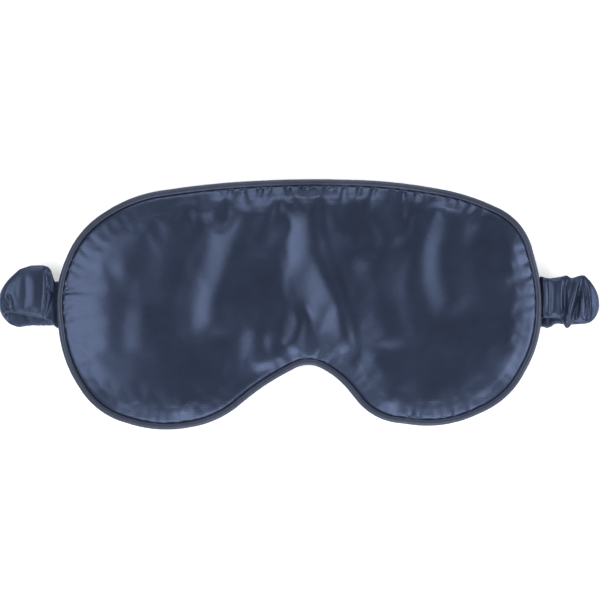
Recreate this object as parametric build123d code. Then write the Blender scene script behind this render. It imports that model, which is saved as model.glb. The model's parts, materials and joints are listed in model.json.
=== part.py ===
from build123d import *
import os
from math import pi, tan

# A padded satin sleep mask, lying face up with its elastic strap folded flat underneath.
#
# Millimetres. +Z is up, out of the front of the mask. +Y is towards the forehead, and X runs
# from ear to ear. The origin is at the centre of the box, on the surface that it lies on.
#
# The strap is one gathered sleeve over one elastic. It is cut where it bends, so that each
# length turns about the line that it really bends on.

# --- Driving dimensions -------------------------------------------------------------------

# Corner points of the pattern at the outer edge of the piping, clockwise from the middle of
# the forehead edge. Each corner is rounded as far as its two sides allow.
EDGE_CORNERS = [
    (0, 55),
    (39, 54),
    (72, 48.5),
    (97, 37),
    (105, 7),
    (103.5, -17),
    (90.5, -41),
    (62.5, -53.5),
    (31, -49.5),
    (16.5, -31.5),
    (3.5, -24),
    (-16, -34.5),
    (-36, -51),
    (-62, -55),
    (-88.5, -47),
    (-103, -24.5),
    (-107, 7),
    (-96.5, 33),
    (-73, 48),
    (-38, 53),
]
ROUNDING = 0.46  # share of its shorter side that a rounded corner takes up

SEAM_Z = 8.2  # height of the seam that joins the two panels
PIPING_R = 1.5  # outside of the bias strip round its cord
CORD_R = 1.1
BIAS_T = 0.35  # one layer of the bias strip
FLANGE_T = 0.4  # its two layers, pressed flat in the seam
FLANGE_W = 5.0
CLOTH_T = 0.3
LINER_T = 0.2
GAP = 0.05  # between layers that lie on each other
FREE = 0.3  # between pieces that move apart

FRONT_Z = 13.8  # top of the padded front
FRONT_ROUND = 5.0
BACK_ROUND = 6.0

STRAP_W = 20.0
STRAP_T = 4.2  # the gathered sleeve, pressed flat
SLEEVE_WALL = 1.2
SLEEVE_EDGE_R = 1.4
ELASTIC_W = 15.0
ELASTIC_T = 1.2
ELASTIC_ROOM = 0.5  # beside the elastic, inside the sleeve
RUN_Y = 0.0  # centre line of the strap behind the mask
END_Y = 3.5  # centre line of each end, which folds over a little higher
END_Z = 5.0  # underside of the strap's ends
FOLD_REACH = 129.9  # centre of the mask to the outside of each fold
BACK_HALF = 60.0  # centre of the mask to the lines where the strap's sides lift
FOLD_STEPS = 6  # sections that shape each half turn, after the first
CHANNEL_ROOM = 2.5  # beside the strap, in the dent that the back makes over it
CHANNEL_CLEAR = 0.45  # over the strap, in the same dent
TAIL_L = 9.0  # how far the strap's ends reach into the seam
TAIL_T = 1.3
TAIL_W = 19.0
TAIL_WALL = 0.3

THREAD_R = 0.15
STITCH_L = 2.6
STITCH_PITCH = 3.6
STITCH_INSET = 1.0  # edge of the panels to the line of stitches
TACK_R = 0.25
TACKS_PER_ROW = 6

ROOM = 150.0  # past the mask on every side, for solids that cut others

# --- Worked out from them -----------------------------------------------------------------

SEAM_INSET = 2 * (PIPING_R + GAP)  # outer edge of the piping to the edge of the panels
FRONT_SEAM_Z = SEAM_Z + FLANGE_T / 2 + GAP  # edge of the front panel
BACK_SEAM_Z = SEAM_Z - FLANGE_T / 2 - GAP
FOLD_Z = (STRAP_T + END_Z) / 2  # the axis of each fold
FOLD_X = FOLD_REACH - (END_Z + STRAP_T - FOLD_Z)
CHANNEL_Z = STRAP_T + CHANNEL_CLEAR  # underside of the back, over the strap
LINER_LOW = CLOTH_T + GAP
WADDING_LOW = LINER_LOW + LINER_T + GAP


def rounding_radii(corners):
    """The largest radius at each corner that takes up its share of the shorter side."""
    radii = []
    for i, here in enumerate(corners):
        before = corners[i - 1] - here
        after = corners[(i + 1) % len(corners)] - here
        half_angle = before.get_angle(after) * pi / 360
        radii.append(ROUNDING * min(before.length, after.length) * tan(half_angle))
    return radii


def rounded(corners, radii):
    return Wire(FilletPolyline(*corners, radius=radii, close=True).edges())


def centred(corners):
    """The corners, moved so that the box of their rounded outline is centred on the origin."""
    middle = rounded(corners, rounding_radii(corners)).bounding_box().center()
    return [corner - middle for corner in corners]


CORNERS = centred([Vector(x, y) for x, y in EDGE_CORNERS])
RADII = rounding_radii(CORNERS)
OUTER_BOX = rounded(CORNERS, RADII).bounding_box()
SEAM_X = OUTER_BOX.max.X + FREE  # where each end of the strap turns at its seam


def inset_edge(distance):
    """The mask's outer edge moved in by a distance, at Z = 0. Each arc keeps its centre."""
    moved, radii = [], []
    for i, here in enumerate(CORNERS):
        arrive = (here - CORNERS[i - 1]).normalized()
        leave = (CORNERS[(i + 1) % len(CORNERS)] - here).normalized()
        inward = Vector(arrive.Y + leave.Y, -arrive.X - leave.X)
        moved.append(here + inward * (distance / (1 + arrive.dot(leave))))
        convex = arrive.cross(leave).Z < 0
        radii.append(RADII[i] - distance if convex else RADII[i] + distance)
    return rounded(moved, radii)


def inset(distance):
    return Face(inset_edge(distance))


def prism(face, low, high):
    return Pos(0, 0, low) * extrude(face, high - low, dir=(0, 0, 1))


def box_between(low, high):
    low, high = Vector(*low), Vector(*high)
    size = high - low
    return Pos((low + high) / 2) * Box(size.X, size.Y, size.Z)


# --- Mask ---------------------------------------------------------------------------------


def pillow(shrink, seam_z, far_z, round_r):
    """One half of the padded shape, from its seam to its far face, with that edge rounded."""
    low, high = sorted((seam_z, far_z + (shrink if far_z < seam_z else -shrink)))
    body = prism(inset(SEAM_INSET + shrink), low, high)
    far_face = body.faces().sort_by(Axis.Z)[0 if far_z < seam_z else -1]
    return fillet(far_face.outer_wire().edges(), round_r - shrink)


def front_half(shrink):
    return pillow(shrink, FRONT_SEAM_Z, FRONT_Z, FRONT_ROUND)


def back_half(shrink):
    """The half that faces the wearer, with the long dent where it lies on the strap."""
    half = STRAP_W / 2 + CHANNEL_ROOM + shrink
    low = (-ROOM, RUN_Y - half, -ROOM)
    high = (ROOM, RUN_Y + half, CHANNEL_Z + shrink)
    return pillow(shrink, BACK_SEAM_Z, 0, BACK_ROUND) - box_between(low, high)


def panels_and_filling():
    core = prism(inset(SEAM_INSET + FLANGE_W + GAP), BACK_SEAM_Z, FRONT_SEAM_Z)
    seam_room = prism(inset(SEAM_INSET), SEAM_Z - STITCH_INSET, SEAM_Z + STITCH_INSET)
    seam_room -= prism(inset(SEAM_INSET + 2 * STITCH_INSET), 0, ROOM)
    tails = tail_room(-1) + tail_room(1)
    wadding = front_half(CLOTH_T + GAP) + core + back_half(WADDING_LOW) - seam_room - tails
    liner = back_half(LINER_LOW) - back_half(LINER_LOW + LINER_T) - seam_room - tails
    return {
        "front_panel": (front_half(0) - front_half(CLOTH_T)).solid(),
        "wadding": wadding.solid(),
        "blackout_liner": liner.solid(),
        "back_panel": (back_half(0) - back_half(CLOTH_T) - tails).solid(),
    }


def flange(room=0.0):
    """The flat of the bias strip inside the seam, with or without room round it."""
    half = FLANGE_T / 2 + room
    ring = prism(inset(PIPING_R), SEAM_Z - half, SEAM_Z + half)
    return ring - prism(inset(SEAM_INSET + FLANGE_W + room), 0, ROOM)


def piping():
    """The bias strip, wrapped round a cord, with its two layers running into the seam."""
    path = Pos(0, 0, SEAM_Z) * inset_edge(PIPING_R)
    start = Plane(path @ 0, z_dir=path % 0)
    tube = sweep(start * Circle(PIPING_R), path=path)
    bore = sweep(start * Circle(PIPING_R - BIAS_T), path=path)
    cord = sweep(start * Circle(CORD_R), path=path)
    return {
        "piping_cover": (tube + flange() - bore).solid(),
        "piping_cord": cord.solid(),
    }


def thread(start, finish, radius):
    run = Vector(*finish) - Vector(*start)
    return Solid.make_cylinder(radius, run.length, Plane(Vector(*start), z_dir=run))


def seam_stitches():
    """Lengths of thread along the flange, which hold both panels to it."""
    line = inset_edge(SEAM_INSET + STITCH_INSET)
    count = round(line.length / STITCH_PITCH)
    z = SEAM_Z + FLANGE_T / 2 + THREAD_R
    stitches = []
    for i in range(count):
        a = line.position_at(i / count)
        b = line.position_at((i + STITCH_L / STITCH_PITCH) / count)
        stitches.append(thread((a.X, a.Y, z), (b.X, b.Y, z), THREAD_R))
    return {"seam_stitches": Compound(stitches)}


# --- Strap --------------------------------------------------------------------------------


def sleeve_section():
    return RectangleRounded(STRAP_W, STRAP_T, SLEEVE_EDGE_R)


def bore_section():
    return Rectangle(ELASTIC_W + 2 * ELASTIC_ROOM, STRAP_T - 2 * SLEEVE_WALL)


def elastic_section():
    return Rectangle(ELASTIC_W, ELASTIC_T)


def straight_length(x_from, x_to, y, z_low):
    """A straight length of the sleeve, and of the elastic inside it."""
    low, high = sorted((x_from, x_to))
    start = Plane((low, y, z_low + STRAP_T / 2), x_dir=(0, 1, 0), z_dir=(1, 0, 0))
    sleeve = extrude(start * sleeve_section(), high - low)
    bore = extrude(start * bore_section(), high - low)
    elastic = extrude(start * elastic_section(), high - low)
    return (sleeve - bore).solid(), elastic.solid()


def fold(side):
    """The half turn of the folded strap, which also leans over from one run to the other."""
    radius = END_Z - FOLD_Z + STRAP_T / 2

    def through(section):
        placed = []
        for step in range(FOLD_STEPS + 1):
            share = step / FOLD_STEPS
            y = RUN_Y + (END_Y - RUN_Y) * share
            turn = Vector(0, 0, -1).rotate(Axis.Y, -180 * side * share)
            ahead = Vector(side, 0, 0).rotate(Axis.Y, -180 * side * share)
            centre = Vector(side * FOLD_X, y, FOLD_Z) + turn * radius
            placed.append(Plane(centre, x_dir=(0, 1, 0), z_dir=ahead) * section)
        return loft(placed)

    sleeve = through(sleeve_section()) - through(bore_section())
    return sleeve.solid(), through(elastic_section()).solid()


def tail_box(side, width, low, high):
    outer_x = SEAM_X - FREE
    y_low, y_high = END_Y - width / 2, END_Y + width / 2
    x_low, x_high = sorted((side * (outer_x - TAIL_L), side * outer_x))
    return box_between((x_low, y_low, low), (x_high, y_high, high))


def tail(side):
    """The end of the sleeve and elastic, pressed flat under the flange and sewn to it."""
    low, high = END_Z + FREE, END_Z + FREE + TAIL_T
    bore = tail_box(side, ELASTIC_W + 2 * GAP, low + TAIL_WALL, high - TAIL_WALL)
    sleeve = tail_box(side, TAIL_W, low, high) - bore
    elastic = tail_box(side, ELASTIC_W, low + TAIL_WALL + GAP, high - TAIL_WALL - GAP)
    return sleeve.solid(), elastic.solid()


def tail_room(side):
    """The space that a tail and its stitches take out of the wadding."""
    x_out, x_in = side * SEAM_X, side * (SEAM_X - FREE - TAIL_L - GAP)
    x_low, x_high = sorted((x_out, x_in))
    half = TAIL_W / 2 + GAP
    return box_between((x_low, END_Y - half, END_Z + FREE - GAP), (x_high, END_Y + half, SEAM_Z))


def tail_tacks(side):
    """Two rows of stitches that tie a tail to the flange above it."""
    low, high = END_Z + FREE + TAIL_T, SEAM_Z - FLANGE_T / 2
    pitch = ELASTIC_W / TACKS_PER_ROW
    tacks = []
    for row in (1, 2):
        x = side * (SEAM_X - FREE - SEAM_INSET - row * FLANGE_W / 3)
        for i in range(TACKS_PER_ROW):
            y = END_Y + (i - (TACKS_PER_ROW - 1) / 2) * pitch
            tacks.append(thread((x, y, low), (x, y, high), TACK_R))
    return Compound(tacks)


def strap():
    pieces = {}

    def add(name, pair):
        pieces["strap_sleeve_" + name] = pair[0]
        pieces["strap_elastic_" + name] = pair[1]

    back_end = BACK_HALF - FREE / 2
    add("back", straight_length(-back_end, back_end, RUN_Y, 0))
    for word, side in (("left", -1), ("right", 1)):
        side_start = side * (BACK_HALF + FREE / 2)
        fold_x = side * FOLD_X
        add(word + "_side", straight_length(side_start, fold_x - side * FREE, RUN_Y, 0))
        add(word + "_fold", fold(side))
        add(word + "_end", straight_length(fold_x, side * SEAM_X, END_Y, END_Z))
        add(word + "_tail", tail(side))
        pieces["strap_tacks_" + word] = tail_tacks(side)
    return pieces


def main():
    os.makedirs("parts", exist_ok=True)
    pieces = {**panels_and_filling(), **piping(), **seam_stitches(), **strap()}
    for name, shape in pieces.items():
        export_step(shape, f"parts/{name}.step")
    print(f"{len(pieces)} nodes, strap seams at X = {SEAM_X:.2f} either side")


main()
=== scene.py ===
import json
import math
from collections import namedtuple

import bpy
import numpy as np
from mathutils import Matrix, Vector, noise
from mathutils.geometry import delaunay_2d_cdt
from mathutils.kdtree import KDTree


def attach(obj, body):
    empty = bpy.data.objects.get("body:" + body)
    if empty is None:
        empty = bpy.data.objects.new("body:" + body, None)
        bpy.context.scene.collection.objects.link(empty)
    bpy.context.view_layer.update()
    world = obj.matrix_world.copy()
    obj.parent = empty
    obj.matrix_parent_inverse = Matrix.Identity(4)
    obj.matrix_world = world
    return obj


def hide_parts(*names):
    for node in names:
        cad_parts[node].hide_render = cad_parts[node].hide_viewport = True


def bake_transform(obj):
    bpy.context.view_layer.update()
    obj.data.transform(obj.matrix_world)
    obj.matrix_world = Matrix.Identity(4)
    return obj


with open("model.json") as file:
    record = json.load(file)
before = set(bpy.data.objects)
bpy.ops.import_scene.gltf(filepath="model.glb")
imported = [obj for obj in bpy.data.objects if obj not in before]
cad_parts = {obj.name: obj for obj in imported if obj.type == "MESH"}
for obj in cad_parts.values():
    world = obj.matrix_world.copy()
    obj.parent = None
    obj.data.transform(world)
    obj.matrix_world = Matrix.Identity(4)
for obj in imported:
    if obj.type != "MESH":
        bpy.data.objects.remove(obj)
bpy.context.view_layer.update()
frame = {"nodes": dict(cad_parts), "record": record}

# A padded satin sleep mask, lying face up with its strap folded flat underneath.
#
# Shapes are worked out in millimetres, in the frame of the CAD part: +Z is out of the front of
# the mask, +Y is towards the forehead and X runs from ear to ear.

MM = 0.001

# The pattern's corners, and the seam, as the CAD part has them.
EDGE_CORNERS = [
    (0, 55), (39, 54), (72, 48.5), (97, 37), (105, 7), (103.5, -17), (90.5, -41),
    (62.5, -53.5), (31, -49.5), (16.5, -31.5), (3.5, -24), (-16, -34.5), (-36, -51),
    (-62, -55), (-88.5, -47), (-103, -24.5), (-107, 7), (-96.5, 33), (-73, 48), (-38, 53),
]
ROUNDING = 0.46
SEAM_Z = 8.2
PIPING_R = 1.5
SEAM_INSET = 3.1

# --- Routes and profiles ------------------------------------------------------------------


def smooth_step(share):
    share = np.clip(share, 0, 1)
    return share * share * (3 - 2 * share)


def smooth_route(route):
    """A route's points, closer together and with its corners rounded."""
    route = np.array(route, float)
    fine = np.linspace(0, len(route) - 1, 12 * (len(route) - 1) + 1)
    smooth = np.stack([np.interp(fine, np.arange(len(route)), route[:, k]) for k in (0, 1)], 1)
    for _ in range(12):
        smooth[1:-1] = (smooth[:-2] + 2 * smooth[1:-1] + smooth[2:]) / 4
    return smooth


def route_distance(points, route):
    """How far each point is to the right of a downward route, and how far along it, 0 to 1."""
    smooth = smooth_route(route)
    squares = ((points[:, None] - smooth[None]) ** 2).sum(2)
    nearest = squares.argmin(1)
    ahead = np.gradient(smooth, axis=0)[nearest]
    out = points - smooth[nearest]
    side = np.where(out[:, 0] * ahead[:, 1] - out[:, 1] * ahead[:, 0] > 0, -1.0, 1.0)
    return np.sqrt(squares.min(1)) * side, nearest / (len(smooth) - 1)


def end_fade(share, reach):
    """1 along the middle of a route, falling towards its ends."""
    return smooth_step(share / reach + 0.35) * smooth_step((1 - share) / reach + 0.15)


FOLD_FALL = 2.6  # the length of a fold's far side, in halves of its face


def fold_heights(points, folds):
    """Folds with a broad face on their left and their crest along its right-hand edge."""
    total = np.zeros(len(points))
    for route, half_width, height in folds:
        right, share = route_distance(points, route)
        up = smooth_step((right + half_width) / (2 * half_width))
        down = 1 - smooth_step((right - 0.9 * half_width) / (FOLD_FALL * half_width))
        total += height * end_fade(share, 0.22) * np.minimum(up, down)
    return total


def ridge_heights(points, ridges):
    """Even ridges, or valleys where the height is below 0."""
    total = np.zeros(len(points))
    for route, half_width, height in ridges:
        right, share = route_distance(points, route)
        total += height * end_fade(share, 0.18) * np.exp(-((right / half_width) ** 2))
    return total


def rolling(points, size, seed):
    """Slow unevenness, from -1 to 1, with bumps about the given size."""
    return np.array([noise.noise(Vector((x / size, y / size, seed))) for x, y in points])


# --- The mask's outline -------------------------------------------------------------------


def unit(v):
    return v / np.linalg.norm(v)


def rounded_corner(before, here, after, distance):
    """Points along the arc that rounds one corner, moved in by a distance."""
    arrive, leave = unit(here - before), unit(after - here)
    reach = ROUNDING * min(np.linalg.norm(here - before), np.linalg.norm(after - here))
    bend = 1.0 if arrive[0] * leave[1] - arrive[1] * leave[0] > 0 else -1.0
    turn = math.acos(np.clip(arrive @ leave, -1, 1))
    radius = reach / math.tan(turn / 2)
    start = here - arrive * reach
    middle = start + bend * radius * np.array([-arrive[1], arrive[0]])
    first = math.atan2(start[1] - middle[1], start[0] - middle[0])
    angles = first + bend * np.linspace(0, turn, max(4, int(turn * radius / 0.5)))
    return middle + (radius + bend * distance) * np.column_stack([np.cos(angles), np.sin(angles)])


def outline(distance, count, centre):
    """Points evenly spaced along the pattern's rounded edge, moved in by a distance."""
    corners = np.array(EDGE_CORNERS, float) - centre
    n = len(corners)
    arcs = [
        rounded_corner(corners[i - 1], corners[i], corners[(i + 1) % n], distance)
        for i in range(n)
    ]
    closed = np.vstack(arcs + [arcs[0][:1]])
    along = np.concatenate([[0], np.cumsum(np.linalg.norm(np.diff(closed, axis=0), axis=1))])
    wanted = np.arange(count) / count * along[-1]
    return np.stack([np.interp(wanted, along, closed[:, k]) for k in (0, 1)], axis=1)


def box_centre(points):
    return (points.min(0) + points.max(0)) / 2


def search_tree(points):
    tree = KDTree(len(points))
    for i, (x, y) in enumerate(points):
        tree.insert((x, y, 0), i)
    tree.balance()
    return tree


CENTRE = box_centre(outline(0, 4000, (0.0, 0.0)))
SEAM = outline(SEAM_INSET, 2000, CENTRE)
SEAM_STEP = np.linalg.norm(np.roll(SEAM, -1, axis=0) - SEAM, axis=1).mean()
SEAM_LENGTH = SEAM_STEP * len(SEAM)
SEAM_TREE = search_tree(SEAM)


def along_and_depth(points):
    """The distance along the seam of the nearest seam point, and how far inside it each point is."""
    found = [SEAM_TREE.find((x, y, 0)) for x, y in points]
    nearest = np.array([f[1] for f in found])
    away = np.array([f[2] for f in found])
    out = points - SEAM[nearest]
    step = (np.roll(SEAM, -1, axis=0) - SEAM)[nearest]
    side = np.sign(out[:, 0] * step[:, 1] - out[:, 1] * step[:, 0])
    return nearest * SEAM_STEP, away * side


def along_gap(a, b):
    """Distance along the closed seam between two places."""
    gap = np.abs(a - b) % SEAM_LENGTH
    return np.minimum(gap, SEAM_LENGTH - gap)


# --- Meshes -------------------------------------------------------------------------------


def add_mesh(name, points, faces):
    """A smooth-shaded object from points in millimetres."""
    mesh = bpy.data.meshes.new(name)
    mesh.from_pydata([tuple(p) for p in np.asarray(points) * MM], [], [tuple(f) for f in faces])
    mesh.update()
    mesh.shade_smooth()
    made = bpy.data.objects.new(name, mesh)
    bpy.context.scene.collection.objects.link(made)
    return made


Layout = namedtuple("Layout", "flat triangles along depth")


def lay_out(insets, ring_points, grid):
    """A panel's flat points and triangles: rings along the seam, then an even grid inside."""
    rings = [outline(d, ring_points, CENTRE) for d in insets]
    low, high = rings[0].min(0), rings[0].max(0)
    rows = np.arange(low[1], high[1], grid * math.sqrt(3) / 2)
    inner = np.array([
        (x + (j % 2) * grid / 2, y)
        for j, y in enumerate(rows)
        for x in np.arange(low[0], high[0], grid)
    ])
    inner = inner[along_and_depth(inner)[1] > insets[-1] - SEAM_INSET + grid * 0.7]
    edges = [(i, (i + 1) % ring_points) for i in range(ring_points)]
    made = delaunay_2d_cdt([Vector(p) for p in np.vstack(rings + [inner])], edges, [], 1, 1e-6)
    flat = np.array([tuple(v) for v in made[0]])
    return Layout(flat, np.array([tuple(t) for t in made[2]]), *along_and_depth(flat))


def smoothed(values, layout, rounds):
    """Values at a layout's points, evened out with their neighbours'."""
    t = layout.triangles
    a, b = np.unique(np.sort(np.concatenate([t[:, :2], t[:, 1:], t[:, ::2]]), axis=1), axis=0).T
    n = len(values)
    count = np.bincount(a, minlength=n) + np.bincount(b, minlength=n)
    for _ in range(rounds):
        around = np.bincount(a, values[b], n) + np.bincount(b, values[a], n)
        values = 0.4 * values + 0.6 * around / count
    return values


RING_POINTS = 700
RING_INSETS = [2.4, 2.75, 2.95, 3.15, 3.4, 3.8, 4.4, 5.1, 6.0, 7.0, 8.0]
FINE = lay_out(RING_INSETS, RING_POINTS, 1.1)
COARSE = lay_out([2.4, 3.4, 4.8, 6.6, 8.6], 320, 2.1)  # for the cloth simulation

# --- Front and back -----------------------------------------------------------------------

# Soft folds of the front: the route down the middle of each face, half the face's width and
# how high it rises. Most of them run down from the gathered forehead edge.
FRONT_FOLDS = [
    ([(-18, 52), (-27, 40), (-34, 26), (-39, 12), (-42, 0), (-42, -9), (-39, -18)], 6.2, 1.7),
    ([(-34, 50), (-37, 44), (-41, 39)], 3.2, 0.7),
    ([(-11, 52), (-16, 40), (-20, 29), (-20, 18)], 4.6, 1.2),
    ([(-5, 52), (-1, 42), (-1, 30), (-2, 20), (4, 8), (11, -6), (14, -18), (20, -28)], 7.6, 2.4),
    ([(16.5, 51), (15, 38), (17, 29), (22, 20)], 4.6, 1.5),
    ([(22, 49), (28, 38), (34, 28), (38, 22)], 4.4, 1.2),
    ([(44.5, 50), (45, 44), (45, 36)], 4.2, 1.1),
    ([(61, 48), (60, 37), (56.5, 25), (56.5, 12), (60, 0), (65, -9)], 6.2, 1.8),
    ([(24, 22), (27, 8), (31, -8), (34, -22)], 7.0, 2.1),
    ([(-71, 0), (-72, -12), (-72, -22)], 5.5, 0.8),
    ([(-78, 19), (-78, 11)], 3.0, 0.4),
    ([(-1, -3), (-3, -12), (-6, -20)], 3.4, 1.0),
    ([(-24, -12), (-22, -21), (-20, -30)], 5.2, 1.0),
    ([(-47.5, -50), (-47, -40)], 2.6, 0.7),
    ([(41, -47), (41.5, -38)], 2.6, 0.6),
    ([(92, 34), (90, 24), (92, 14)], 4.5, 0.6),
    ([(70, -26), (79, -33), (84, -42)], 6.0, 0.7),
]
FRONT_VALLEYS = [
    ([(2, 2), (4.5, -8), (1, -22)], 1.8, -1.0),
    ([(-11, -14), (-12, -20)], 2.6, -0.7),
    ([(11, 50), (9, 38), (12, 24), (20, 4), (25, -16), (28, -28)], 2.6, -0.8),
    ([(-8.5, 52), (-9, 44), (-11, 34)], 1.4, -1.0),
    ([(20, 51), (19, 42), (22, 32)], 1.7, -1.0),
    ([(47, 49), (50, 40), (51, 32)], 2.0, -0.6),
    ([(-24, 51), (-29, 42), (-36, 30)], 2.2, -0.5),
]
# Where the seam is gathered: a place on it, the length it covers and how deep its pleats are.
GATHERS = [
    ((-8, 52), 30, 1.0),
    ((34, 51), 20, 1.0),
    ((70, 46), 14, 0.3),
    ((-104, 2), 14, 0.6),
    ((-98, 30), 12, 0.25),
    ((101, 8), 14, 0.5),
    ((57, -50), 18, 0.6),
    ((-50, -52), 16, 0.3),
    ((2, -24), 10, 0.45),
]
PLEAT_PITCH = 5.4


def gather_strength(place):
    strength = 0.0
    for (x, y), reach, deep in GATHERS:
        gap = along_gap(place, along_and_depth(np.array([[x, y]], float))[0][0])
        strength = max(strength, deep * math.exp(-((gap / reach) ** 4)))
    return strength


def pleats(layout, seed, base=0.07):
    """Short dents that run in from the seam, uneven in spacing, depth, length and slant."""
    rng = np.random.default_rng(seed)
    inward = np.clip(layout.depth, 0, None)
    total = np.zeros(len(inward))
    place = 0.0
    while place < SEAM_LENGTH - PLEAT_PITCH / 2:
        strength = base + gather_strength(place)
        deep = strength * rng.uniform(0.6, 1.5)
        reach = rng.uniform(2.2, 5.0) * (0.6 + strength)
        width = rng.uniform(0.8, 1.4)
        lean = rng.uniform(-0.3, 0.3)
        across = along_gap(layout.along, place + lean * inward) / (width * (1 + inward / 6))
        total -= deep * np.exp(-(across ** 2)) * np.exp(-inward / reach)
        place += PLEAT_PITCH * rng.uniform(0.7, 1.35)
    return total


FRONT_LOW_Z = 8.0  # the front panel's edge, inside the piping
FRONT_LIP = 1.9  # how far it then stands up, close beside the piping
FRONT_RISE = 2.8
FRONT_ROLL = 20.0
FOLD_SIZE = 1.25
STITCH_TOP_Z = 8.85  # nothing inside the seam goes below this, so the stitches stay covered


def front_heights(layout):
    inward = np.clip(layout.depth, 0, None)
    lip = FRONT_LIP * (1 - np.exp(-np.clip(layout.depth + 0.7, 0, None) / 0.4))
    dome = FRONT_RISE * (1 - (1 - np.clip(inward / FRONT_ROLL, 0, 1)) ** 2.2)
    folds = fold_heights(layout.flat, FRONT_FOLDS) + ridge_heights(layout.flat, FRONT_VALLEYS)
    folds = smoothed(FOLD_SIZE * folds + 0.6 * rolling(layout.flat, 30, 1.7), layout, 7)
    z = FRONT_LOW_Z + lip + dome + smooth_step(inward / 5.5) * folds
    z += pleats(layout, 5) * np.clip(layout.depth / 0.6 + 0.3, 0, 1)
    return np.where(inward > 0.4, np.maximum(z, STITCH_TOP_Z), z)


BACK_EDGE_Z = 8.1
BACK_REST_Z = 0.2  # where the back lies on the table
BACK_ROLL = 14.0
CHANNEL_HALF = 12.0  # the dent over the strap: half its width, its height and how it eases out
CHANNEL_Z = 4.75
CHANNEL_EASE = 5.0


def back_heights(layout):
    inward = np.clip(layout.depth, 0, None)
    drop = (BACK_EDGE_Z - BACK_REST_Z) * (1 - (1 - np.clip(inward / BACK_ROLL, 0, 1)) ** 2.2)
    beside = np.clip(np.abs(layout.flat[:, 1]) - CHANNEL_HALF, 0, None)
    dent = BACK_REST_Z + (CHANNEL_Z - BACK_REST_Z) * np.exp(-((beside / CHANNEL_EASE) ** 2))
    z = np.maximum(BACK_EDGE_Z - drop, dent)
    z -= 0.6 * pleats(layout, 9) * np.clip(layout.depth / 0.6 + 0.3, 0, 1)
    z += 0.25 * (rolling(layout.flat, 16, 4.4) + 1) * smooth_step(inward / 8)
    return np.maximum(z, BACK_REST_Z)


SWELL_FRAMES = 20


def cloth_settings(piece, pressure, extra):
    cloth = piece.modifiers.new("cloth", "CLOTH")
    settings = cloth.settings
    settings.quality = 5
    settings.mass = 0.1
    settings.tension_stiffness = 25
    settings.compression_stiffness = 12
    settings.shear_stiffness = 8
    settings.bending_stiffness = 3.0
    settings.use_pressure = True
    settings.uniform_pressure_force = pressure
    settings.shrink_min = -extra
    settings.effector_weights.gravity = 0
    settings.vertex_group_mass = "seam"
    cloth.point_cache.frame_start = 1
    cloth.point_cache.frame_end = SWELL_FRAMES


def swelled(heights, flip, pressure, extra, cap):
    """How far a panel moves, in mm, when it is filled with air while its seam is held.

    The cut is a little larger than the space, so that the cloth wrinkles as it draws tight. The
    simulation runs on a coarse mesh, and no point moves further than the cap.
    """
    faces = COARSE.triangles[:, ::-1] if flip else COARSE.triangles
    piece = add_mesh("simulated", np.column_stack([COARSE.flat, heights]), faces)
    held = piece.vertex_groups.new(name="seam")
    for i, depth in enumerate(COARSE.depth):
        held.add([i], float(np.clip(1 - (depth - 1.0) / 4.0, 0, 1)), "REPLACE")
    cloth_settings(piece, pressure, extra)
    before = np.array([v.co[:] for v in piece.data.vertices])
    scene = bpy.context.scene
    for number in range(1, SWELL_FRAMES + 1):
        scene.frame_set(number)
    moved = piece.evaluated_get(bpy.context.evaluated_depsgraph_get())
    after = np.array([v.co[:] for v in moved.data.vertices])
    bpy.data.objects.remove(piece)
    scene.frame_set(1)
    shift = (after - before) / MM
    length = np.maximum(np.linalg.norm(shift, axis=1), 1e-9)
    return shift * (cap * np.tanh(length / cap) / length)[:, None]


SPREAD = 1.5  # distance over which a coarse point's movement is shared, in mm


def carried(shift):
    """The coarse mesh's movement at the fine mesh's points."""
    tree = search_tree(COARSE.flat)
    moves = np.empty((len(FINE.flat), 3))
    for i, (x, y) in enumerate(FINE.flat):
        near = tree.find_n((x, y, 0), 6)
        weights = np.exp([-((d / SPREAD) ** 2) for _, _, d in near])
        moves[i] = weights @ shift[[k for _, k, _ in near]] / weights.sum()
    return moves


def panel_points(heights, flip, pressure, extra, cap):
    points = np.column_stack([FINE.flat, heights(FINE)])
    points += carried(swelled(heights(COARSE), flip, pressure, extra, cap))
    return points


# --- Piping -------------------------------------------------------------------------------

PIPING_STEPS = 900
PIPING_SIDES = 18


def closed_tube(name, path, radii):
    """A tube round a closed path that lies flat."""
    n, sides = radii.shape
    ahead = np.roll(path, -1, axis=0) - np.roll(path, 1, axis=0)
    ahead /= np.linalg.norm(ahead, axis=1)[:, None]
    out = np.column_stack([-ahead[:, 1], ahead[:, 0], np.zeros(n)])
    turns = np.arange(sides) / sides * 2 * math.pi
    points = [
        path[i] + radii[i, j] * (math.cos(a) * out[i] + math.sin(a) * np.array([0.0, 0.0, 1.0]))
        for i in range(n)
        for j, a in enumerate(turns)
    ]
    faces = []
    for i in range(n):
        here, there = i * sides, (i + 1) % n * sides
        for j in range(sides):
            k = (j + 1) % sides
            faces.append((here + j, here + k, there + k, there + j))
    return add_mesh(name, points, faces)


def make_piping():
    """The bias strip round its cord, with the slanting unevenness of cloth cut on the bias."""
    path = np.column_stack([outline(PIPING_R, PIPING_STEPS, CENTRE), np.full(PIPING_STEPS, SEAM_Z)])
    radii = np.empty((PIPING_STEPS, PIPING_SIDES))
    for i in range(PIPING_STEPS):
        for j in range(PIPING_SIDES):
            a = j / PIPING_SIDES * 2 * math.pi
            where = Vector((i * 0.30 + a * 0.9, math.cos(a) * 0.8, math.sin(a) * 0.8))
            radii[i, j] = PIPING_R * (1 + 0.035 * noise.noise(where))
    return closed_tube("piping_cover_satin", path, radii)


# --- Filling ------------------------------------------------------------------------------

FILLING_RING = 10  # the ring of the panels' mesh at which the filling ends
FILLING_GAP = 0.8
LINER_GAP = 0.4


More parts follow.
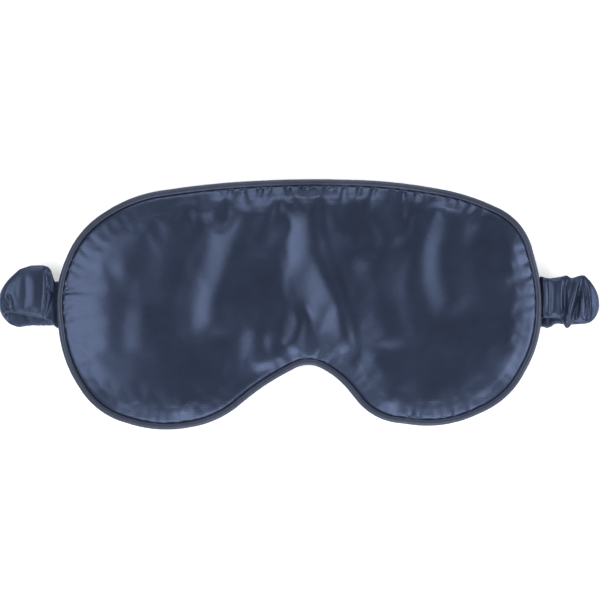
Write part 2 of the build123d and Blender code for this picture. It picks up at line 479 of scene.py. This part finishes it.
def filling_part(points):
    """The inner part of a panel's points, and its triangles."""
    first = FILLING_RING * RING_POINTS
    inner = FINE.triangles[(FINE.triangles >= first).all(axis=1)] - first
    return points[first:], inner


def make_wadding(front, back):
    """The closed pad between the panels, a little inside both."""
    top, triangles = filling_part(front - (0, 0, FILLING_GAP))
    bottom, _ = filling_part(back + (0, 0, FILLING_GAP))
    n = len(top)
    ring = np.arange(RING_POINTS)
    following = (ring + 1) % RING_POINTS
    rim = np.column_stack([ring, ring + n, following + n, following])
    faces = [*triangles, *(triangles[:, ::-1] + n), *rim]
    return add_mesh("wadding_pad", np.vstack([top, bottom]), faces)


def make_liner(back):
    points, triangles = filling_part(back + (0, 0, LINER_GAP))
    return add_mesh("blackout_liner_sheet", points, triangles)


# --- Strap --------------------------------------------------------------------------------

FOLD_X = 125.4  # where the strap starts to turn over
FOLD_Z = 4.7
FOLD_R = 2.8
RUN_Z = 1.9
END_START = FOLD_X + math.pi * FOLD_R
ELASTIC_HALF_W = 7.5
ELASTIC_HALF_T = 0.5
ELASTIC_CLEAR = 0.3

# Stations along each half of the strap, from the middle of the back: the distance, its two
# edges in Y, how far its middle is above its usual height, half its thickness, how boxy its
# section is (1 is round) and how deep its gathers are.
LEFT_STRAP = [
    (0, -9.9, 10.4, 0, 1.5, 0.75, 1.0),
    (100, -9.6, 10.2, 0, 1.5, 0.75, 1.0),
    (116, -9.2, 10.0, 0, 1.5, 0.8, 0.5),
    (122, -10.2, 10.0, 0.1, 1.7, 0.9, 0.3),
    (126, -8.6, 9.0, 0.1, 1.9, 1.0, 0.25),
    (129.8, -5.0, 5.6, 0, 2.2, 1.0, 0.2),
    (134.2, -3.4, 11.4, 0, 2.6, 1.0, 0.12),
    (138.4, -4.2, 15.3, 0.1, 2.9, 1.0, 0.08),
    (143.4, -5.2, 16.9, 0.1, 3.0, 1.0, 0.06),
    (148.6, -6.2, 17.0, 0.0, 2.8, 1.0, 0.08),
    (150.4, -6.8, 16.6, -0.1, 2.4, 1.0, 0.1),
    (152.2, -8.0, 15.2, -0.4, 2.0, 1.0, 0.1),
    (152.9, -8.6, 12.2, -0.8, 1.6, 1.0, 0.1),
    (153.4, -9.4, 9.8, -1.2, 1.1, 0.9, 0.1),
    (154.6, -10.4, 9.5, -1.5, 0.75, 0.8, 0.1),
    (158, -9.6, 9.2, -1.55, 0.6, 0.8, 0.1),
]
RIGHT_STRAP = [
    (0, -9.9, 10.4, 0, 1.5, 0.75, 1.0),
    (100, -9.9, 10.4, 0, 1.5, 0.75, 1.0),
    (106, -9.9, 10.4, 0, 1.5, 0.75, 0.9),
    (108.7, -10.5, 10.4, 0, 1.5, 0.75, 0.9),
    (111.5, -8.4, 10.4, 0, 1.5, 0.75, 0.9),
    (118, -9.0, 10.6, 0, 1.5, 0.8, 0.5),
    (125.4, -8.4, 11.2, 0, 1.8, 0.9, 0.3),
    (129.8, -4.8, 4.8, 0, 2.2, 1.0, 0.2),
    (133.6, -8.0, 10.4, 0, 2.4, 1.0, 0.15),
    (136.0, -8.4, 12.8, 0, 2.5, 1.0, 0.12),
    (138.8, -7.7, 12.4, 0, 2.3, 1.0, 0.1),
    (140.8, -7.2, 11.5, 0, 2.1, 1.0, 0.1),
    (142.0, -9.6, 11.4, 0, 2.1, 1.0, 0.1),
    (143.6, -10.6, 12.8, 0, 2.2, 1.0, 0.1),
    (144.6, -10.0, 12.5, 0, 2.1, 1.0, 0.1),
    (145.8, -6.4, 12.1, 0, 1.9, 0.9, 0.1),
    (148.0, -5.9, 11.7, 0, 1.9, 0.85, 0.08),
    (151.4, -5.9, 11.3, 0, 1.9, 0.85, 0.08),
    (153.6, -5.9, 11.8, -0.2, 1.7, 0.85, 0.08),
    (154.6, -5.9, 12.2, -1.0, 1.1, 0.85, 0.08),
    (155.6, -5.9, 12.2, -1.55, 0.65, 0.8, 0.08),
    (158, -5.9, 12.0, -1.55, 0.6, 0.8, 0.08),
]
# Creases and rolls across the top of the two ends: route, half width and height.
LEFT_ROLLS = [
    ([(-110.0, 16.5), (-109.2, 10), (-109.6, 4), (-111.2, -6)], 0.7, -0.9),
    ([(-107.9, 13), (-107.7, 9), (-107.0, 5)], 1.1, -2.2),
    ([(-107.9, 6), (-108.6, 0), (-110.2, -6.5)], 0.9, 0.6),
    ([(-105.6, 5), (-107.4, -1), (-109.0, -8)], 1.1, -1.9),
    ([(-128.2, 2), (-126.6, -1), (-123.6, -3.6)], 0.8, -1.5),
    ([(-125.8, 4.5), (-124.3, 0.5), (-124.4, -2.5)], 0.7, -0.9),
    ([(-114.5, 13), (-114.0, 5), (-115.0, -3)], 2.0, 0.35),
    ([(-118.5, 12), (-118.0, 4), (-119.0, -2)], 1.4, -0.3),
]
RIGHT_ROLLS = [
    ([(105.6, 12), (106.2, 3), (105.4, -5.5)], 0.8, 0.5),
    ([(107.7, 11.5), (108.3, 3), (107.8, -5.5)], 1.0, -0.6),
    ([(111.0, 11.5), (110.8, 3), (110.4, -5.5)], 1.5, 0.4),
    ([(115.4, 12.4), (114.7, 4), (115.0, -4.5)], 0.8, -1.7),
    ([(120.8, 12), (118.8, 4), (116.6, -4), (115.6, -9.5)], 1.6, 1.7),
    ([(122.0, 10), (120.6, 1), (118.9, -7)], 1.1, -1.7),
    ([(121.9, 4), (122.2, -3), (120.8, -6.5)], 0.7, 0.6),
    ([(122.4, 12), (124.2, 6), (125.0, -2), (124.2, -7)], 1.0, -1.6),
    ([(126.8, 7), (127.6, 1), (126.6, -5)], 0.7, -0.4),
]


def station_values(stations, distances):
    """Each station column at every distance, with the corners between stations rounded."""
    table = np.array(stations, float)
    spread = np.linspace(-1.2, 1.2, 13)
    weights = np.exp(-((spread / 0.7) ** 2))
    weights /= weights.sum()
    return [
        sum(w * np.interp(distances + s, table[:, 0], table[:, k]) for s, w in zip(spread, weights))
        for k in range(1, table.shape[1])
    ]


def strap_line(distances):
    """The strap's middle in X and Z at distances along it, and its outward direction there."""
    turn = np.clip((distances - FOLD_X) / FOLD_R, 0, math.pi)
    out_x, out_z = np.sin(turn), -np.cos(turn)
    x = np.minimum(distances, FOLD_X) + FOLD_R * out_x - np.clip(distances - END_START, 0, None)
    z = np.where(turn > 0, FOLD_Z + FOLD_R * out_z, RUN_Z)
    return x, z, out_x, out_z


def gather_depth(distance, y, seed):
    """How deep the gathers are at a place on the sleeve, from 0 on a puff to 1 in a crease."""
    bent = 0.9 * noise.noise(Vector((distance / 13, y / 7, seed + 3.1)))
    fine = noise.noise(Vector((distance / 3.4 + bent, y / 17, seed)))
    wide = noise.noise(Vector((distance / 8 + bent, y / 21, seed + 7.7)))
    return 0.7 * max(0.0, 1 - 3.2 * abs(fine)) ** 2 + 0.5 * max(0.0, 1 - 2.6 * abs(wide)) ** 2


TUCKED = 0.85  # how slim a length is that is tucked into its neighbour
SLEEVE_MESH = (80, 0.4)  # points round each ring, and the step between rings in mm
RIBBON_MESH = (16, 1.5)
GATHER_THINS = 0.55  # how much thinner and narrower the sleeve is in its deepest gathers
GATHER_NARROWS = 0.07
UNDERSIDE_SHIFT = 30  # gives the underside gathers of its own


def strap_ring(distance, section, seed, around, ribbon):
    """One ring of the strap: each point's Y, and how far it stands out from the middle."""
    middle, wide, deep, boxy, gathered = section
    ring = []
    for k in range(around):
        a = k / around * 2 * math.pi
        c, d = math.cos(a), math.sin(a)
        across = math.copysign(abs(c) ** boxy, c)
        proud = deep * math.copysign(abs(d) ** boxy, d)
        if not ribbon:
            place = middle + wide * c + UNDERSIDE_SHIFT * (d < 0)
            inside = gathered * gather_depth(distance, place, seed)
            proud *= 1 - GATHER_THINS * inside
            across *= 1 - GATHER_NARROWS * inside * abs(c)
        ring.append((middle + wide * across, proud))
    return ring


def creased(points, half, middle_z, out_z, around):
    """The sleeve's points with its creases and rolls, which don't cut into the elastic."""
    angles = np.arange(around) / around * 2 * math.pi
    top = np.tile(np.clip(np.sin(angles), 0, 1) ** 0.5, len(middle_z))
    turned = np.repeat(np.clip(out_z, 0, 1), around)
    rolled = points[:, 2] + ridge_heights(points[:, :2], half.rolls) * top * turned
    lowest = np.repeat(middle_z, around) + ELASTIC_HALF_T + ELASTIC_CLEAR
    points[:, 2] = np.maximum(rolled, np.minimum(points[:, 2], lowest))
    return points


def strap_skin(name, half, low, high, ribbon, tucked):
    """A length of the strap's sleeve, or of the elastic inside it, between two distances."""
    around, step = RIBBON_MESH if ribbon else SLEEVE_MESH
    slim = TUCKED if tucked else 1.0
    distances = np.linspace(low, high, max(2, int(round((high - low) / step)) + 1))
    y_low, y_high, lift, thick, boxy, gathered = station_values(half.stations, distances)
    x, z, out_x, out_z = strap_line(distances)
    points = []
    for i, distance in enumerate(distances):
        middle = (y_low[i] + y_high[i]) / 2
        wide = (y_high[i] - y_low[i]) / 2 * (1 + slim) / 2
        deep = thick[i] * slim
        if ribbon:
            wide, deep = min(ELASTIC_HALF_W, wide * 0.7), min(ELASTIC_HALF_T, deep * 0.5)
        section = (middle, wide, deep, boxy[i], gathered[i])
        for y, proud in strap_ring(distance, section, half.seed, around, ribbon):
            out = half.side * (x[i] + out_x[i] * proud)
            points.append((out, y, z[i] + out_z[i] * proud + lift[i]))
    points = np.array(points)
    if not ribbon:
        points = creased(points, half, z + lift, out_z, around)
    faces = tube_faces(len(distances), around, half.side, ribbon or tucked, ribbon)
    return add_mesh(name, points, faces)


def tube_faces(rows, around, side, start_closed, end_closed):
    faces = []
    for i in range(rows - 1):
        for k in range(around):
            j = (k + 1) % around
            faces.append((i * around + k, i * around + j, (i + 1) * around + j, (i + 1) * around + k))
    if start_closed:
        faces.append(tuple(range(around))[::-1])
    if end_closed:
        faces.append(tuple(range((rows - 1) * around, rows * around)))
    return faces if side > 0 else [f[::-1] for f in faces]


Half = namedtuple("Half", "word side stations rolls seed")
LEFT = Half("left", -1, LEFT_STRAP, LEFT_ROLLS, 2.0)
RIGHT = Half("right", 1, RIGHT_STRAP, RIGHT_ROLLS, 11.0)

# --- Materials ----------------------------------------------------------------------------


def new_material(name):
    """A material, its nodes and links, its shader and the texture coordinates' node."""
    material = bpy.data.materials.new(name)
    material.use_nodes = True
    nodes, links = material.node_tree.nodes, material.node_tree.links
    return material, nodes, links, nodes["Principled BSDF"], nodes.new("ShaderNodeTexCoord")


def noise_texture(nodes, links, place, scale, detail):
    texture = nodes.new("ShaderNodeTexNoise")
    texture.inputs["Scale"].default_value = scale
    texture.inputs["Detail"].default_value = detail
    links.new(place.outputs["Object"], texture.inputs["Vector"])
    return texture


def two_shades(nodes, links, value, colour, shader, spread, low=0.3, high=0.7):
    """Lets the base colour vary between a darker and a lighter shade."""
    ramp = nodes.new("ShaderNodeValToRGB")
    shades = ((low, 1 - spread), (high, 1 + spread))
    for element, (position, factor) in zip(ramp.color_ramp.elements, shades):
        element.position = position
        element.color = (*[c * factor for c in colour], 1)
    links.new(value, ramp.inputs["Fac"])
    links.new(ramp.outputs["Color"], shader.inputs["Base Color"])


def bump_from(nodes, links, value, shader, height_mm, strength):
    bump = nodes.new("ShaderNodeBump")
    bump.inputs["Strength"].default_value = strength
    bump.inputs["Distance"].default_value = height_mm * MM
    links.new(value, bump.inputs["Height"])
    links.new(bump.outputs["Normal"], shader.inputs["Normal"])


def added(nodes, links, a, b, share):
    """a plus a share of b."""
    total = nodes.new("ShaderNodeMath")
    total.operation = "MULTIPLY_ADD"
    total.inputs[1].default_value = share
    links.new(b, total.inputs[0])
    links.new(a, total.inputs[2])
    return total.outputs["Value"]


def satin(name, colour, metallic=0.60, roughness=0.32):
    """Satin: a coloured gloss over a fine weave, a little uneven."""
    material, nodes, links, shader, place = new_material(name)
    shader.inputs["Metallic"].default_value = metallic
    shader.inputs["Specular Tint"].default_value = (0.68, 0.78, 1.0, 1)
    cloudy = noise_texture(nodes, links, place, 60, 4)
    threads = noise_texture(nodes, links, place, 1800, 2)
    mottled = added(nodes, links, cloudy.outputs["Fac"], threads.outputs["Fac"], 0.45)
    two_shades(nodes, links, mottled, colour, shader, 0.16, 0.45, 0.95)
    rough = nodes.new("ShaderNodeMapRange")
    rough.inputs["To Min"].default_value = roughness - 0.04
    rough.inputs["To Max"].default_value = roughness + 0.04
    links.new(cloudy.outputs["Fac"], rough.inputs["Value"])
    links.new(rough.outputs["Result"], shader.inputs["Roughness"])
    waves = []
    for direction, scale in (("X", 700), ("Y", 450)):
        wave = nodes.new("ShaderNodeTexWave")
        wave.bands_direction = direction
        wave.inputs["Scale"].default_value = scale
        wave.inputs["Distortion"].default_value = 1.5
        wave.inputs["Detail Scale"].default_value = 0.4
        links.new(place.outputs["Object"], wave.inputs["Vector"])
        waves.append(wave.outputs["Fac"])
    bump_from(nodes, links, added(nodes, links, waves[0], waves[1], 1.0), shader, 0.05, 0.25)
    return material


def matt(name, colour, scale, height_mm, roughness=0.9):
    """A matt fibrous finish, such as wadding, lining, cord, elastic or thread."""
    material, nodes, links, shader, place = new_material(name)
    shader.inputs["Roughness"].default_value = roughness
    fibres = noise_texture(nodes, links, place, scale, 5)
    two_shades(nodes, links, fibres.outputs["Fac"], colour, shader, 0.12)
    bump_from(nodes, links, fibres.outputs["Fac"], shader, height_mm, 1.0)
    return material


NAVY = (0.029, 0.040, 0.075)
FINISHES = {
    "front_satin": satin("front_satin", NAVY),
    "back_satin": satin("back_satin", tuple(c * 0.92 for c in NAVY)),
    "piping_satin": satin("piping_satin", (0.040, 0.048, 0.075), 0.5, 0.45),
    "strap_satin": satin("strap_satin", NAVY, roughness=0.38),
    "wadding": matt("wadding", (0.72, 0.72, 0.69), 900, 0.3),
    "blackout_lining": matt("blackout_lining", (0.02, 0.02, 0.022), 2500, 0.05),
    "piping_cord": matt("piping_cord", (0.64, 0.63, 0.58), 1500, 0.1),
    "elastic": matt("elastic", (0.045, 0.055, 0.09), 1800, 0.1, 0.7),
    "thread": matt("thread", (0.03, 0.04, 0.085), 3000, 0.04, 0.6),
}

# --- Pieces -------------------------------------------------------------------------------


def finish_piece(piece, slot, *nodes):
    """Gives a piece the finish named by slot as its material, and hides the CAD nodes that it stands
    for.
    """
    piece.data.materials.clear()
    piece.data.materials.append(FINISHES[slot])
    if nodes:
        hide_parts(*nodes)
    return piece


def dress_cad_nodes():
    """Gives each CAD node that is left showing its own finish."""
    for row in frame["record"]["subparts"]:
        node = frame["nodes"][row["node"]]
        if not node.hide_render:
            finish_piece(node, row["material_slot"])


def make_mask():
    front = panel_points(front_heights, False, 1.0, 0.005, 1.6)
    back = panel_points(back_heights, True, 0.5, 0.003, 0.7)
    back[:, 2] = np.maximum(back[:, 2], BACK_REST_Z)
    front_piece = add_mesh("front_panel_satin", front, FINE.triangles)
    finish_piece(front_piece, "front_satin", "front_panel")
    back_piece = add_mesh("back_panel_satin", back, FINE.triangles[:, ::-1])
    finish_piece(back_piece, "back_satin", "back_panel")
    liner = finish_piece(make_liner(back), "blackout_lining", "blackout_liner")
    wadding = finish_piece(make_wadding(front, back), "wadding", "wadding")
    piping = finish_piece(make_piping(), "piping_satin", "piping_cover")
    for piece in (front_piece, back_piece, liner, wadding, piping):
        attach(piece, "mask")


LIFT_FROM, LIFT_TO = 52.0, 68.0  # the stretch of the strap's back where a side would lift; it only marks the length as one left on no body
FOLD_FROM_Z, FOLD_TO_Z = 3.5, 5.5  # the heights between which the strap turns over
SEAM_FROM, SEAM_TO, SEAM_BEND_Z = 107.8, 105.2, 5  # where the left end bends at its seam
SIDE_CUT = 92.0
LEFT_CUT, RIGHT_CUT = 150.0, 143.3
RIGHT_ROOT, RIGHT_LAP = 153.6, 155.2  # the hanging end laps over the length in the seam
STRAP_END = 162.75  # inside the seam, just short of the wadding


def strap_length(name, half, low, high, bodies, bend, replaced, tucked=False):
    """A length of sleeve and of its elastic, on its first body, or, where a bend is given, on no body
    with its transform baked.
    """
    for kind, slot in (("sleeve", "strap_satin"), ("elastic", "elastic")):
        ribbon = kind == "elastic"
        piece = strap_skin(f"strap_{kind}_{name}", half, low, high, ribbon, tucked)
        finish_piece(piece, slot, *[f"strap_{kind}_{node}" for node in replaced])
        if bend:
            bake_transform(piece)
        else:
            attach(piece, bodies[0])


def make_strap():
    for half, cut in ((LEFT, LEFT_CUT), (RIGHT, RIGHT_CUT)):
        word, side = half.word, half.side
        side_body, end_body = f"strap_{word}_side", f"strap_{word}_end"
        lift = ((side * LIFT_FROM, 0, RUN_Z), (side * LIFT_TO, 0, RUN_Z))
        fold = ((side * FOLD_X, 0, FOLD_FROM_Z), (side * FOLD_X, 0, FOLD_TO_Z))
        nodes = ("back", word + "_side")
        turned = (word + "_fold",)
        strap_length(word + "_run", half, 0, SIDE_CUT, ("strap_back", side_body), lift, nodes)
        strap_length(word + "_turn", half, SIDE_CUT, cut, (side_body, end_body), fold, turned)
    seam = ((-SEAM_FROM, 0, SEAM_BEND_Z), (-SEAM_TO, 0, SEAM_BEND_Z))
    bodies, nodes = ("strap_left_end", "mask"), ("left_end", "left_tail")
    strap_length("left_stub", LEFT, LEFT_CUT, STRAP_END, bodies, seam, nodes)
    bodies, nodes = ("strap_right_end",), ("right_end",)
    strap_length("right_stub", RIGHT, RIGHT_CUT, RIGHT_LAP, bodies, None, nodes)
    bodies, nodes = ("mask",), ("right_tail",)
    strap_length("right_root", RIGHT, RIGHT_ROOT, STRAP_END, bodies, None, nodes, tucked=True)


make_mask()
make_strap()
dress_cad_nodes()

# --- Floor, light and camera --------------------------------------------------------------


def make_floor():
    far = 3000
    corners = [(-far, -far, 0), (far, -far, 0), (far, far, 0), (-far, far, 0)]
    floor = add_mesh("floor", corners, [(0, 1, 2, 3)])
    material = bpy.data.materials.new("floor")
    material.use_nodes = True
    shader = material.node_tree.nodes["Principled BSDF"]
    shader.inputs["Base Color"].default_value = (0.9, 0.9, 0.9, 1)
    shader.inputs["Roughness"].default_value = 0.9
    shader.inputs["Emission Color"].default_value = (1, 1, 1, 1)
    shader.inputs["Emission Strength"].default_value = 0.35
    floor.data.materials.append(material)


def soft_light(name, place, size, power):
    light = bpy.data.lights.new(name, "AREA")
    light.shape = "RECTANGLE"
    light.size, light.size_y = size
    light.energy = power
    lamp = bpy.data.objects.new(name, light)
    lamp.location = place
    lamp.rotation_euler = (-Vector(place)).to_track_quat("-Z", "Y").to_euler()
    bpy.context.scene.collection.objects.link(lamp)


def make_world(strength):
    world = bpy.data.worlds.new("world")
    world.use_nodes = True
    world.node_tree.nodes["Background"].inputs["Color"].default_value = (1, 1, 1, 1)
    world.node_tree.nodes["Background"].inputs["Strength"].default_value = strength
    bpy.context.scene.world = world


def make_camera():
    """Straight above the mask, with the folded strap from edge to edge of the picture."""
    camera = bpy.data.cameras.new("camera")
    distance, frame_width, look_z = 1.2, 0.2598, 0.008
    camera.sensor_width = 36
    camera.lens = 36 * distance / frame_width
    lens = bpy.data.objects.new("camera", camera)
    lens.location = (0.0004, 0.0019, look_z + distance)
    bpy.context.scene.collection.objects.link(lens)
    bpy.context.scene.camera = lens


make_floor()
soft_light("left", (-0.64, 0.00, 0.84), (0.9, 0.5), 6.8)
soft_light("right", (0.92, -0.10, 0.52), (0.9, 0.6), 9)
soft_light("near", (0.05, -0.92, 0.58), (1.0, 0.5), 9)
soft_light("far", (0.00, 0.95, 0.50), (1.0, 0.4), 5)
make_world(0.22)
bpy.context.scene.view_settings.view_transform = "Standard"
make_camera()
